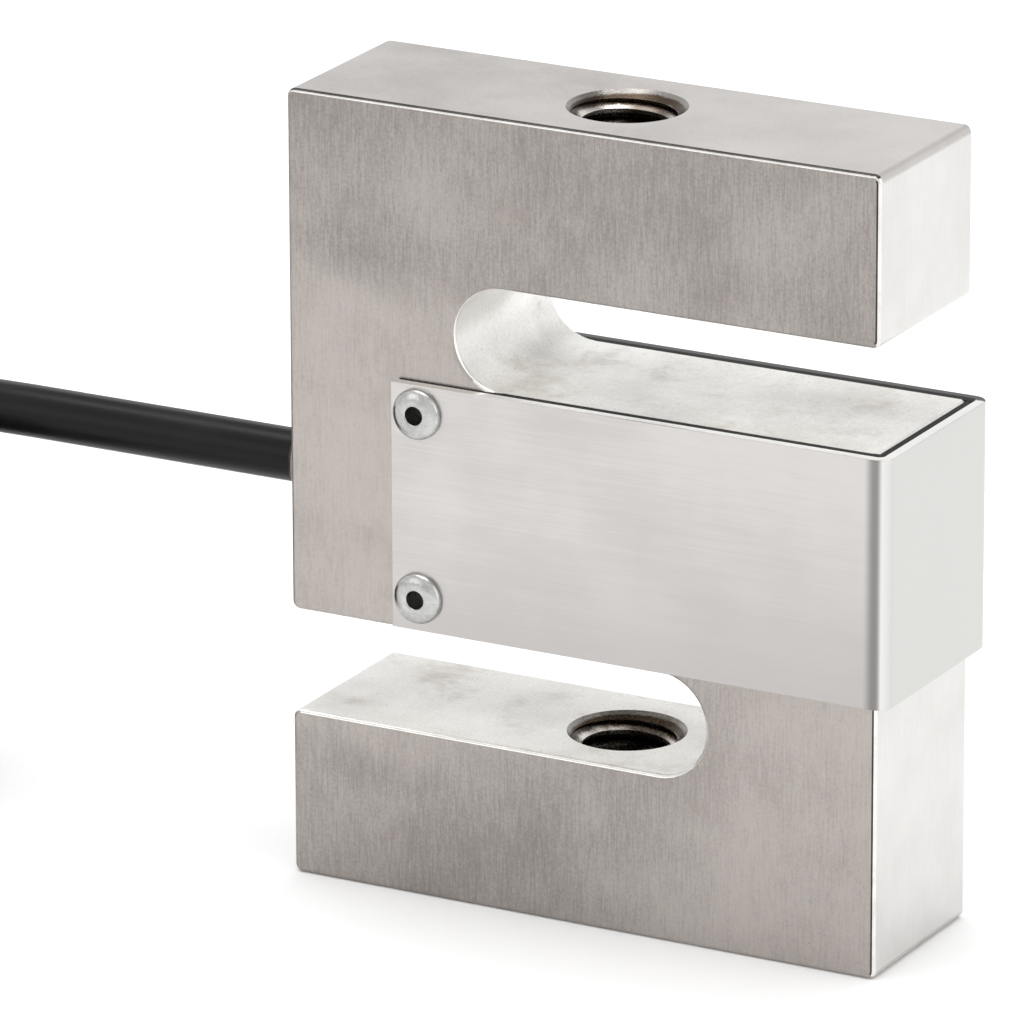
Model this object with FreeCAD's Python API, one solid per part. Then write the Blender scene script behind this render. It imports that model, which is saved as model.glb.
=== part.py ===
"""S-type load cell: a flat steel S block with two slots, strain gauges in its
centre, a folded steel cover riveted over them, and a sealed-in signal cable.

Frame: millimetres, +Z up. The origin is on the load axis, at the lower end of
the block. X runs along the block's width, the cable leaves at the -X end, and
Y runs through the block's depth with the front at -Y.
"""
import FreeCAD, Part
import math
import os

Vec = FreeCAD.Vector
X_DIR, Y_DIR, Z_DIR = Vec(1, 0, 0), Vec(0, 1, 0), Vec(0, 0, 1)

# ---------------------------------------------------------------- block
block_width = 60.0            # along X
block_depth = 18.4            # along Y
arm_height = 16.0             # upper and lower arm, each
slot_height = 9.75            # both slots, with fully round ends
section_height = 24.0         # the section between the slots, with the gauges
column_width = 17.2           # from the block's end face to the slot's end
corner_round = 0.8            # corners of the S outline
edge_break = 0.45             # bevel around the front and rear faces

# ---------------------------------------------------------------- load threads
thread_minor_diameter = 8.376     # bore of an M10 x 1.5 internal thread
thread_mouth_diameter = 11.1      # 90 degree countersink at each mouth

# ---------------------------------------------------------------- gauge pockets
pocket_width = 24.0
pocket_wall = 4.5             # steel left above and below a pocket
pocket_corner = 4.5
web_thickness = 3.0           # shear web left between front and rear pocket
cross_hole_diameter = 2.4     # lets the rear gauge's wires through the web
cross_hole_inset = 2.3        # from the pocket's right and upper walls

# ---------------------------------------------------------------- cover
sheet = 1.0                   # sheet thickness
wing_gap = 0.3                # between a wing and the block's face
web_gap = 0.5                 # between the cover's web and the block's end
inner_bend = 0.5
cover_inset = 11.3            # free edge of the wings, from the cable end face
cover_bottom_step = 0.5       # cover's lower edge above the lower slot
cover_edge_break = 0.12

# ---------------------------------------------------------------- rivets
rivet_edge = 2.8              # rivet axis from the wings' free edge
rivet_top_inset = 2.7
rivet_bottom_inset = 3.2
rivet_head_diameter = 4.8
rivet_head_height = 0.9
rivet_rim = 0.3               # straight rim under the dome
rivet_dome_share = 0.4        # flat crown, as a share of the head's ring
rivet_shank_diameter = 2.4
rivet_bore_diameter = 1.7
rivet_hole_clearance = 0.1    # on the diameter
rivet_grip = 5.0              # shank length inside the block
rivet_tail_room = 2.0         # hole depth past the shank's end
mandrel_play = 0.04           # on the diameter, stem in the rivet's bore
mandrel_recess = 1.9          # broken end below the rivet's outer face
mandrel_head_diameter = 2.2
mandrel_head_length = 1.1

# ---------------------------------------------------------------- gasket
gasket_margin = 0.35          # gasket edge inside the cover's edges
gasket_overrun = 5.0          # gasket past the pocket's right wall
gasket_window_margin = 1.2    # window around the pocket

# ---------------------------------------------------------------- gauges, board
gauge_length = 8.0
gauge_height = 6.4
gauge_thickness = 0.15
gauge_shift = -2.5            # gauge centre from the pocket's centre
board_length = 5.0            # along X
board_thickness = 0.8
board_inset = 1.4             # from the pocket's right wall
board_top_inset = 3.5         # from the pocket's upper wall, below the cross hole
board_bottom_inset = 1.5      # from the pocket's lower wall
resistor_length = 3.2
resistor_width = 1.6
resistor_height = 0.6
resistor_inset = 0.35         # from the board's right edge
resistor_spread = 4.4         # between the two resistors' centres
gauge_tab = 0.9               # solder tab from the gauge's edge
board_pad = 0.9               # solder pad from the board's left edge
fine_wire_diameter = 0.3
wire_strand_diameter = 0.6    # three fine wires twisted together
potting_recess = 0.7          # potting surface below the block's face
potting_room = 3.4            # space left for the wiring over the web

# ---------------------------------------------------------------- cable
cable_diameter = 5.0
cable_height = 37.2           # cable axis above the block's base
sleeve_diameter = 6.2
sleeve_reach = 4.0            # sleeve outside the end face
sleeve_seat = 9.0             # sleeve inside the block
sleeve_break = 0.5
cable_bore_clearance = 0.2    # on the diameter, past the sleeve's seat
notch_length = 5.5            # wiring notch, from the pocket's left wall to the jacket's end
core_diameter = 0.9
core_quad = 1.1               # pitch of the four cores in the jacket
core_spread = 1.45            # front pair to rear pair where they enter the pocket
core_clearance = 0.5          # lowest core above the web as it enters the pocket
core_pitch = 1.5              # on the board

# ---------------------------------------------------------------- free cable
hank_gap = 39.0               # hank's near end from the cable's exit
hank_length = 125.0
hank_width = 46.0
hank_shift = -12.5            # hank's middle line in Y, flush with the rear
hank_layers = 6               # of two turns side by side
tie_width = 4.5
tie_thickness = 1.2
tie_play = 0.1
tie_head_length = 6.4
tie_head_width = 5.2
tie_head_height = 4.0
tie_head_shift = -8.0         # head's middle from the hank's middle line
tie_tail_length = 7.0         # strap past the head
jacket_to_near_end = 2.0      # the jacket's cut end, short of the hank's near end
shrink_length = 8.0
shrink_wall = 0.3
shrink_overlap = 5.0          # shrink tube over the jacket
lead_length = 15.0            # insulated leads outside the shrink tube
lead_diameter = 1.1
lead_bend_share = 0.5         # share of a lead's reach where it meets the surface
tinned_length = 4.0
tinned_diameter = 0.7

# ---------------------------------------------------------------- derived
block_height = 2 * (arm_height + slot_height) + section_height
left, right = -block_width / 2, block_width / 2
front, rear = -block_depth / 2, block_depth / 2
lower_arm_top = arm_height
centre_bottom = arm_height + slot_height
centre_top = block_height - arm_height - slot_height
upper_arm_bottom = block_height - arm_height
centre_height = (centre_bottom + centre_top) / 2
slot_radius = slot_height / 2
countersink = (thread_mouth_diameter - thread_minor_diameter) / 2

pocket_height = section_height - 2 * pocket_wall
pocket_left, pocket_right = -pocket_width / 2, pocket_width / 2
pocket_top = centre_height + pocket_height / 2
pocket_bottom = centre_height - pocket_height / 2
web_face = web_thickness / 2
cross_hole = Vec(pocket_right - cross_hole_inset, 0, pocket_top - cross_hole_inset)

cover_top = centre_top
cover_bottom = centre_bottom + cover_bottom_step
wing_edge = left + cover_inset
wing_inner = rear + wing_gap
wing_outer = wing_inner + sheet
cover_end_inner = right + web_gap
cover_end = cover_end_inner + sheet
rivet_x = wing_edge + rivet_edge
rivet_levels = {
    "upper": cover_top - rivet_top_inset,
    "lower": cover_bottom + rivet_bottom_inset,
}

cable_exit = left - sleeve_reach
sleeve_end = left + sleeve_seat
notch_left = pocket_left - notch_length

board_right = pocket_right - board_inset
board_left = board_right - board_length
board_top = pocket_top - board_top_inset
board_bottom = pocket_bottom + board_bottom_inset
board_centre = (board_top + board_bottom) / 2
board_face = web_face + board_thickness
gauge_x = gauge_shift
gauge_face = web_face + gauge_thickness

hank_near = cable_exit - hank_gap
hank_far = hank_near - hank_length
hank_middle = (hank_near + hank_far) / 2
hank_height = hank_layers * cable_diameter + tie_thickness
near_fold = hank_near - hank_width / 2               # fold centres in X
far_fold = hank_far + hank_width / 2
tail_y = hank_shift - (hank_width - cable_diameter) / 2    # outer turn, front run
tail_end = hank_near - jacket_to_near_end
shrink_start = tail_end - shrink_overlap
shrink_end = shrink_start + shrink_length


# ---------------------------------------------------------------- helpers
def box(x0, x1, y0, y1, z0, z1):
    """A box between two opposite corners."""
    return Part.makeBox(x1 - x0, y1 - y0, z1 - z0, Vec(x0, y0, z0))


def rod(radius, start, end):
    """A round bar between two points."""
    axis = end - start
    return Part.makeCylinder(radius, axis.Length, start, axis)


def rounded_prism(x0, x1, z0, z1, corner, y0, y1):
    """A rounded rectangle in the XZ plane, extruded from y0 to y1."""
    block = box(x0, x1, min(y0, y1), max(y0, y1), z0, z1)
    corners = [e for e in block.Edges if is_along(e, Y_DIR)]
    return block.makeFillet(corner, corners)


def is_along(edge, direction):
    """True for a straight edge that runs along the direction."""
    if not isinstance(edge.Curve, Part.Line):
        return False
    return abs(abs(edge.Curve.Direction.dot(direction)) - 1) < 1e-6


def lies_at(edge, axis, value):
    """True where the whole edge has one value of its X, Y or Z."""
    box_ = edge.BoundBox
    low = {"x": box_.XMin, "y": box_.YMin, "z": box_.ZMin}[axis]
    high = {"x": box_.XMax, "y": box_.YMax, "z": box_.ZMax}[axis]
    return abs(low - value) < 1e-4 and abs(high - value) < 1e-4


def tube_path(points, share=0.45):
    """Straight runs joined by tangent arcs, each as large as its runs allow."""
    edges, radii = [], []
    start = points[0]
    for before, corner, after in zip(points, points[1:], points[2:]):
        into, out = corner - before, after - corner
        shorter = min(into.Length, out.Length)
        into.normalize()
        out.normalize()
        half_turn = math.acos(max(-1.0, min(1.0, into.dot(out)))) / 2
        trim = share * shorter
        radii.append(trim / math.tan(half_turn))
        first, last = corner - into * trim, corner + out * trim
        inward = out - into
        inward.normalize()
        to_centre = radii[-1] / math.cos(half_turn)
        middle = corner + inward * (to_centre - radii[-1])
        edges.append(Part.LineSegment(start, first).toShape())
        edges.append(Part.Arc(first, middle, last).toShape())
        start = last
    edges.append(Part.LineSegment(start, points[-1]).toShape())
    return Part.Wire(edges), radii


def tube(points, diameter):
    """A round tube along straight runs and tangent arcs."""
    path, radii = tube_path(points)
    heading = points[1] - points[0]
    section = Part.Wire([Part.makeCircle(diameter / 2, points[0], heading)])
    return path.makePipeShell([section], True, False), path.Length, radii


def revolve_along_y(points, origin, outward):
    """Spins an outline of (radius, height) about a Y axis through the origin."""
    corners = [origin + X_DIR * radius + Y_DIR * (outward * height)
               for radius, height in points]
    face = Part.Face(Part.makePolygon(corners + [corners[0]]))
    return face.revolve(origin, Y_DIR, 360)


# ---------------------------------------------------------------- steel block
def slot(open_side, z0, z1):
    """One slot: a round end at its column and an open mouth at the other end."""
    past = block_depth
    if open_side > 0:
        end = left + column_width + slot_radius
        run = box(end, right + past, front - past, rear + past, z0, z1)
    else:
        end = right - column_width - slot_radius
        run = box(left - past, end, front - past, rear + past, z0, z1)
    round_end = Part.makeCylinder(
        slot_radius, block_depth + 2 * past, Vec(end, front - past, (z0 + z1) / 2), Y_DIR)
    return run.fuse(round_end)


def s_outline_body():
    """The bare S with its outline corners rounded and its face edges broken."""
    body = box(left, right, front, rear, 0, block_height)
    body = body.cut(slot(+1, centre_top, upper_arm_bottom))
    body = body.cut(slot(-1, lower_arm_top, centre_bottom)).removeSplitter()
    body = body.makeFillet(corner_round, [e for e in body.Edges if is_along(e, Y_DIR)
                                          and is_outline_corner(e)])
    rims = [e for e in body.Edges if lies_at(e, "y", front) or lies_at(e, "y", rear)]
    return body.makeChamfer(edge_break, rims)


def is_outline_corner(edge):
    """True at the S's sharp corners, all on one of the two end faces."""
    x = edge.BoundBox.Center.x
    return abs(x - left) < 1e-6 or abs(x - right) < 1e-6


def threaded_bore(z0, z1):
    """Tapped hole on the load axis, countersunk at both mouths."""
    minor, mouth = thread_minor_diameter / 2, thread_mouth_diameter / 2
    past = 1.0
    cutter = Part.makeCylinder(minor, z1 - z0 + 2 * past, Vec(0, 0, z0 - past))
    for z, up in ((z1, 1), (z0, -1)):
        cone = Part.makeCone(minor, mouth + past, countersink + past,
                             Vec(0, 0, z - up * countersink), Z_DIR * up)
        cutter = cutter.fuse(cone)
    return cutter


def gauge_pocket(side):
    """The milled pocket on the front (-1) or rear (+1) face."""
    return rounded_prism(pocket_left, pocket_right, pocket_bottom, pocket_top,
                         pocket_corner, side * web_face, side * (rear + 1))


def cable_passage():
    """Sleeve seat, cable bore and the notch that opens into the front pocket."""
    bore = (cable_diameter + cable_bore_clearance) / 2
    seat = rod(sleeve_diameter / 2, Vec(left - 1, 0, cable_height),
               Vec(sleeve_end, 0, cable_height))
    run = rod(bore, Vec(left, 0, cable_height), Vec(notch_left + bore, 0, cable_height))
    notch = box(notch_left, pocket_left + pocket_corner, front - 1, 0,
                cable_height - bore, cable_height + bore)
    return seat.fuse(run).fuse(notch)


def rivet_hole(side, level):
    """Blind hole in the cable-side column for one rivet."""
    radius = (rivet_shank_diameter + rivet_hole_clearance) / 2
    depth = rivet_grip + rivet_tail_room
    return rod(radius, Vec(rivet_x, side * (rear + 1), level),
               Vec(rivet_x, side * (rear - depth), level))


def make_body():
    """The whole steel S block."""
    body = s_outline_body()
    body = body.cut(threaded_bore(upper_arm_bottom, block_height))
    body = body.cut(threaded_bore(0, lower_arm_top))
    for side in (-1, 1):
        body = body.cut(gauge_pocket(side))
        for level in rivet_levels.values():
            body = body.cut(rivet_hole(side, level))
    body = body.cut(cable_passage())
    reach = Y_DIR * (web_face + 1)
    return body.cut(rod(cross_hole_diameter / 2, cross_hole - reach, cross_hole + reach))


# ---------------------------------------------------------------- cover
def make_cover():
    """Sheet folded to a U: two wings and a web around the block's free end."""
    outer = box(wing_edge, cover_end, -wing_outer, wing_outer, cover_bottom, cover_top)
    inner = box(wing_edge - 1, cover_end_inner, -wing_inner, wing_inner,
                cover_bottom - 1, cover_top + 1)
    outer = outer.makeFillet(inner_bend + sheet, [
        e for e in outer.Edges if is_along(e, Z_DIR) and lies_at(e, "x", cover_end)])
    inner = inner.makeFillet(inner_bend, [
        e for e in inner.Edges if is_along(e, Z_DIR) and lies_at(e, "x", cover_end_inner)])
    cover = outer.cut(inner)
    cut_edges = [e for e in cover.Edges if lies_at(e, "z", cover_top)
                 or lies_at(e, "z", cover_bottom)
                 or (is_along(e, Z_DIR) and lies_at(e, "x", wing_edge))]
    cover = cover.makeChamfer(cover_edge_break, cut_edges)
    radius = (rivet_shank_diameter + rivet_hole_clearance) / 2
    for level in rivet_levels.values():
        across = Y_DIR * (wing_outer + 1)
        centre = Vec(rivet_x, 0, level)
        cover = cover.cut(rod(radius, centre - across, centre + across))
    return cover


def make_gasket(side):
    """Thin seal between a wing and the block's face, around the pocket."""
    y0, y1 = sorted((side * rear, side * wing_inner))
    pad = box(wing_edge + gasket_margin, pocket_right + gasket_overrun, y0, y1,
              cover_bottom + gasket_margin, cover_top - gasket_margin)
    window = rounded_prism(
        pocket_left - gasket_window_margin, pocket_right + gasket_window_margin,
        pocket_bottom - gasket_window_margin, pocket_top + gasket_window_margin,
        pocket_corner + gasket_window_margin, y0 - 1, y1 + 1)
    pad = pad.cut(window)
    for level in rivet_levels.values():
        radius = (rivet_shank_diameter + rivet_hole_clearance) / 2
        pad = pad.cut(rod(radius, Vec(rivet_x, y0 - 1, level), Vec(rivet_x, y1 + 1, level)))
    return pad


# ---------------------------------------------------------------- rivets
def make_rivet(side, level):
    """Blind rivet: a domed, hollow head on the wing and a shank in the block."""
    head, bore = rivet_head_diameter / 2, rivet_bore_diameter / 2
    shank = rivet_shank_diameter / 2
    length = sheet + wing_gap + rivet_grip
    outline = [
        (bore, -length), (shank, -length), (shank, 0), (head, 0), (head, rivet_rim),
        (bore + (head - bore) * rivet_dome_share, rivet_head_height), (bore, rivet_head_height),
    ]
    return revolve_along_y(outline, Vec(rivet_x, side * wing_outer, level), side)


def make_mandrel(side, level):
    """What the pulled mandrel leaves: a broken stem and the head behind it."""
    stem = (rivet_bore_diameter - mandrel_play) / 2
    head = mandrel_head_diameter / 2
    top = rivet_head_height - mandrel_recess
    shank_end = -(sheet + wing_gap + rivet_grip)
    end = shank_end - mandrel_head_length
    outline = [(0, top), (stem, top), (stem, shank_end), (head, shank_end), (head, end), (0, end)]
    return revolve_along_y(outline, Vec(rivet_x, side * wing_outer, level), side)


# ---------------------------------------------------------------- inside the pockets
def make_gauge(side):
    """Foil shear gauge bonded to the web."""
    y0, y1 = sorted((side * web_face, side * gauge_face))
    return box(gauge_x - gauge_length / 2, gauge_x + gauge_length / 2, y0, y1,
               centre_height - gauge_height / 2, centre_height + gauge_height / 2)


def make_board():
    """Terminal board on the web, beside the front gauge."""
    return box(board_left, board_right, -board_face, -web_face,
               board_bottom, board_top)


def make_resistor(row):
    """One trimming resistor on the board: row +1 is the upper one."""
    x1 = board_right - resistor_inset
    z = board_centre + row * resistor_spread / 2
    return box(x1 - resistor_width, x1, -board_face - resistor_height, -board_face,
               z - resistor_length / 2, z + resistor_length / 2)


def make_front_wires():
    """Three fine wires from the front gauge's tabs to the board, between the cores' pads."""
    radius = fine_wire_diameter / 2
    wires = []
    for row in (-1, 0, 1):
        z = board_centre + row * core_pitch
        tab = Vec(gauge_x + gauge_length / 2 - gauge_tab, -gauge_face - radius, z)
        pad = Vec(board_left + board_pad, -board_face - 2 * radius, z)
        wires.append(rod(radius, tab, pad))
    return Part.makeCompound(wires)


def bent_wire(points, diameter):
    """A round wire with mitred bends."""
    path = Part.makePolygon(points)
    section = Part.Wire([Part.makeCircle(diameter / 2, points[0], points[1] - points[0])])
    sweep = Part.BRepOffsetAPI.MakePipeShell(path)
    sweep.setTransitionMode(1)
    sweep.add(section)
    sweep.build()
    sweep.makeSolid()
    return sweep.shape()


def make_rear_wires():
    """The rear gauge's three wires, twisted to one strand that comes through the web."""
    level = wire_strand_diameter / 2
    behind, ahead = gauge_face + level, -board_face - level
    return bent_wire([
        Vec(gauge_x + gauge_length / 2 - gauge_tab, behind, centre_height + gauge_tab),
        Vec(cross_hole.x - 2.5, behind + 0.3, cross_hole.z - 0.9),
        Vec(cross_hole.x, behind + 0.6, cross_hole.z),
        Vec(cross_hole.x, ahead - 0.5, cross_hole.z),
        Vec(cross_hole.x - 1.5, ahead, board_top - 0.5),
        Vec(cross_hole.x - 2.0, ahead, board_top - 1.6),
    ], wire_strand_diameter)


def core_places():
    """Colour, then side in Y and Z in the jacket, and row on the board, of each core."""
    return {
        "red": (-1, 1, 1.5),
        "green": (1, 1, 0.5),
        "white": (1, -1, -0.5),
        "black": (-1, -1, -1.5),
    }


def make_core(colour):
    """One insulated core from the jacket's end to its pad on the board."""
    side, rise, row = core_places()[colour]
    start = Vec(notch_left, side * core_quad / 2, cable_height + rise * core_quad / 2)
    over_web = -web_face - core_clearance - core_diameter / 2
    entry_y = over_web if side > 0 else over_web - core_spread
    on_board = -board_face - core_diameter / 2
    pad_z = board_centre + row * core_pitch
    return bent_wire([
        start,
        start + X_DIR * core_diameter / 2,
        Vec(pocket_left + core_diameter / 2, entry_y, start.z),
        Vec(board_left, on_board, pad_z),
        Vec(board_left + 2 * board_pad, on_board, pad_z),
    ], core_diameter)


def make_potting(side):
    """Silicone cast over the wiring: it closes the pocket above the cores."""
    surface = side * (rear - potting_recess)
    underside = side * (web_face + potting_room)
    return rounded_prism(pocket_left, pocket_right, pocket_bottom, pocket_top,
                         pocket_corner, underside, surface)


# ---------------------------------------------------------------- cable
def make_sleeve():
    """Metal sleeve that holds the cable in the block's end face."""
    outer = rod(sleeve_diameter / 2, Vec(cable_exit, 0, cable_height),
                Vec(sleeve_end, 0, cable_height))
    rim = [e for e in outer.Edges if lies_at(e, "x", cable_exit)]
    outer = outer.makeChamfer(sleeve_break, rim)
    return outer.cut(rod(cable_diameter / 2, Vec(cable_exit - 1, 0, cable_height),
                         Vec(sleeve_end + 1, 0, cable_height)))


def make_cable_root():
    """The jacketed cable inside the sleeve and the block."""
    return rod(cable_diameter / 2, Vec(cable_exit, 0, cable_height),
               Vec(notch_left, 0, cable_height))


def lead_route():
    """The free cable's centreline, from its exit to the top of the hank."""
    return [
        Vec(-34.0, 0.0, 37.2),
        Vec(-68.0, 0.0, 37.2),
        Vec(-103.0, 2.5, 33.8),
        Vec(-123.0, 7.0, 33.8),
    ]


def make_cable_lead():
    """The straight stretch at the exit and its way over to the hank."""
    solid, length, radii = tube(lead_route(), cable_diameter)
    section = math.pi * cable_diameter ** 2 / 4
    print("cable lead: radii", [round(r, 1) for r in radii],
          "volume over section times length", round(solid.Volume / (section * length), 4))
    return solid


def make_hank():
    """Outer shape of the cable folded away beside the block: a racetrack."""
    fold = hank_width / 2
    folds = [Part.makeCylinder(fold, hank_height, Vec(x, hank_shift, 0))
             for x in (near_fold, far_fold)]
    runs = box(far_fold, near_fold, hank_shift - fold, hank_shift + fold, 0, hank_height)
    hank = runs.fuse(folds).removeSplitter()
    reach = tie_width / 2 + tie_play
    groove = box(hank_middle - reach, hank_middle + reach,
                 hank_shift - hank_width, hank_shift + hank_width, -1, tie_thickness)
    return hank.cut(groove)


def make_tie():
    """Cable tie around the hank's middle, with its head on top."""
    x0, x1 = hank_middle - tie_width / 2, hank_middle + tie_width / 2
    inner = hank_width / 2 + tie_play
    outer = inner + tie_thickness
    top = hank_height + tie_thickness
    band = box(x0, x1, hank_shift - outer, hank_shift + outer, 0, top)
    band = band.makeFillet(tie_thickness, [e for e in band.Edges if is_along(e, X_DIR)])
    band = band.cut(box(x0 - 1, x1 + 1, hank_shift - inner, hank_shift + inner,
                        tie_thickness, hank_height))
    y1 = hank_shift + tie_head_shift + tie_head_length / 2
    y0 = y1 - tie_head_length
    half = tie_head_width / 2
    head = box(hank_middle - half, hank_middle + half, y0, y1, top, top + tie_head_height)
    head = head.makeFillet(0.6, [e for e in head.Edges if is_along(e, Z_DIR)])
    strap = box(x0, x1, y0 - tie_tail_length, y0 + 0.1, top + 1.0, top + 1.0 + tie_thickness)
    return band.fuse(head).fuse(strap).removeSplitter()


def tail_axis(x):
    """A point on the free end's axis, with the shrink tube on the supporting surface."""
    return Vec(x, tail_y, cable_diameter / 2 + shrink_wall)


def make_cable_tail(hank):
    """The jacket's last stretch, straight out of the hank's lowest turn."""
    whole = rod(cable_diameter / 2, tail_axis(near_fold - cable_diameter), tail_axis(tail_end))
    outside = whole.cut(hank)
    return sorted(outside.Solids, key=lambda s: s.Volume)[-1]


def make_shrink():
    """Shrink tube over the jacket's cut end, closing down onto the leads."""
    inner = cable_diameter / 2
    outer = inner + shrink_wall
    tip = lead_diameter * 1.75
    centre = tail_axis(0)
    outline = [
        (shrink_start, inner), (shrink_start, outer), (tail_end, outer),
        (shrink_end, tip), (shrink_end, 0), (tail_end, 0), (tail_end, inner),
    ]
    corners = [Vec(x, centre.y, centre.z + radius) for x, radius in outline]
    skin = Part.Face(Part.makePolygon(corners + [corners[0]]))
    return skin.revolve(centre, X_DIR, 360)


def lead_places():
    """Colour, offset at the shrink tube's mouth and sideways spread of each lead."""
    ring = lead_diameter * 0.85
    return {
        "red": (-ring, -ring, -4.4),
        "white": (-ring, ring, -1.4),
        "green": (ring, ring, 1.2),
        "black": (ring, -ring, 4.2),
    }


def make_lead(colour):
    """One insulated lead down to the surface, with its tinned end."""
    dy, dz, spread = lead_places()[colour]
    start = tail_axis(shrink_end) + Vec(0, dy, dz)
    bend = Vec(start.x + lead_length * lead_bend_share, start.y + spread * lead_bend_share,
               lead_diameter / 2)
    tip = Vec(start.x + lead_length, start.y + spread, lead_diameter / 2)
    heading = tip - bend
    heading.normalize()
    strand = rod(tinned_diameter / 2, tip, tip + heading * tinned_length)
    mouth = start + X_DIR * lead_diameter / 2
    return bent_wire([start, mouth, bend, tip], lead_diameter).fuse(strand)


# ---------------------------------------------------------------- assembly
def make_parts():
    """Every node's shape, by name."""
    parts = {"sensing_body": make_body(), "side_cover": make_cover()}
    sides = {"front": -1, "rear": 1}
    for name, side in sides.items():
        parts["gasket_" + name] = make_gasket(side)
        parts["gauge_" + name] = make_gauge(side)
        parts["potting_" + name] = make_potting(side)
        for place, level in rivet_levels.items():
            parts["rivet_%s_%s" % (name, place)] = make_rivet(side, level)
            parts["mandrel_%s_%s" % (name, place)] = make_mandrel(side, level)
    parts["terminal_board"] = make_board()
    parts["balance_resistor"] = make_resistor(+1)
    parts["span_resistor"] = make_resistor(-1)
    parts["gauge_wires_front"] = make_front_wires()
    parts["gauge_wires_rear"] = make_rear_wires()
    for colour in core_places():
        parts["core_" + colour] = make_core(colour)
    parts["cable_root"] = make_cable_root()
    parts["cable_sleeve"] = make_sleeve()
    parts["cable_lead"] = make_cable_lead()
    parts["cable_hank"] = make_hank()
    parts["hank_tie"] = make_tie()
    parts["cable_tail"] = make_cable_tail(parts["cable_hank"])
    parts["shrink_tube"] = make_shrink()
    for colour in lead_places():
        parts["lead_" + colour] = make_lead(colour)
    return parts


def main():
    """Builds every node and writes it to its own STEP file."""
    os.makedirs("parts", exist_ok=True)
    for name, shape in make_parts().items():
        if not shape.isValid():
            print("not valid:", name)
        print("%-20s %2d solid(s) %12.3f mm3" % (name, len(shape.Solids), shape.Volume))
        shape.exportStep("parts/%s.step" % name)


main()
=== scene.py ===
"""Looks of an S-type load cell: a ground steel S block with tapped arms, a
brushed sheet cover riveted over its gauge section, and a black signal cable
whose unseen length lies beside it as a tied hank.

Lengths are in metres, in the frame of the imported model: +Z up, the cable
leaves towards -X and the front is at -Y.
"""
from __future__ import annotations

import logging
import math
from dataclasses import dataclass
from enum import Enum, IntEnum
from typing import Iterable, Sequence

import bmesh
import bpy
from mathutils import Matrix, Vector

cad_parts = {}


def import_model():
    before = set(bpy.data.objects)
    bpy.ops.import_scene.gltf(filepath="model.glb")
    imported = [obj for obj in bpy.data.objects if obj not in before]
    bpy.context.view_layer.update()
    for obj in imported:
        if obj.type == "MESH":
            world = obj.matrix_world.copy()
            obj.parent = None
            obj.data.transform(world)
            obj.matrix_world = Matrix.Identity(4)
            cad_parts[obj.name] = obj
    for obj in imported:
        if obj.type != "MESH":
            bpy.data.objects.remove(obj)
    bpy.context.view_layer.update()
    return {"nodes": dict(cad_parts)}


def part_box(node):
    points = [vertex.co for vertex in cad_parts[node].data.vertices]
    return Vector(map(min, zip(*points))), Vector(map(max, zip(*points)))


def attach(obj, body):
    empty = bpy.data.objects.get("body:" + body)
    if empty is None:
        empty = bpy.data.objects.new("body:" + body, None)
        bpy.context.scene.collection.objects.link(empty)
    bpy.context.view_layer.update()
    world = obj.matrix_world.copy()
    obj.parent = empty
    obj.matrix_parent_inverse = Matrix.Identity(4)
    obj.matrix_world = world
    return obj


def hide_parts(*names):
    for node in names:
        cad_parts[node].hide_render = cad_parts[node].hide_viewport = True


log = logging.getLogger("load_cell")

BODY = "root"
TOUCH = 1e-7  # metres within which two coordinates count as the same

Colour = tuple[float, float, float]
Operand = "Value | float"
Finishes = dict[str, bpy.types.Material]


class Side(Enum):
    """The block's two large faces."""

    FRONT = -1
    REAR = 1


class Level(Enum):
    """Upper and lower, for the rivets."""

    UPPER = 1
    LOWER = -1


class Grain(Enum):
    """Direction that a metal surface was ground or brushed along."""

    Y = (1.0, 0.03, 1.0)
    Z = (1.0, 1.0, 0.07)
    NONE = (1.0, 1.0, 1.0)


# ------------------------------------------------------------------ shaders
class Value:
    """A shader value that takes part in ordinary arithmetic."""

    def __init__(self, tree: Tree, source: bpy.types.NodeSocket) -> None:
        """Keeps the tree and the socket that the value comes from."""
        self.tree = tree
        self.source = source

    def __add__(self, other: Operand) -> Value:
        """The sum with another value."""
        return self.tree.math("ADD", self, other)

    def __radd__(self, other: Operand) -> Value:
        """The sum, with this value on the right."""
        return self.tree.math("ADD", other, self)

    def __sub__(self, other: Operand) -> Value:
        """The difference with another value."""
        return self.tree.math("SUBTRACT", self, other)

    def __rsub__(self, other: Operand) -> Value:
        """The difference, with this value on the right."""
        return self.tree.math("SUBTRACT", other, self)

    def __mul__(self, other: Operand) -> Value:
        """The product with another value."""
        return self.tree.math("MULTIPLY", self, other)

    def __rmul__(self, other: Operand) -> Value:
        """The product, with this value on the right."""
        return self.tree.math("MULTIPLY", other, self)

    def __truediv__(self, other: Operand) -> Value:
        """The quotient with another value."""
        return self.tree.math("DIVIDE", self, other)

    def __rtruediv__(self, other: Operand) -> Value:
        """The quotient, with this value on the right."""
        return self.tree.math("DIVIDE", other, self)

    def __abs__(self) -> Value:
        """The value without its sign."""
        return self.tree.math("ABSOLUTE", self)


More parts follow.
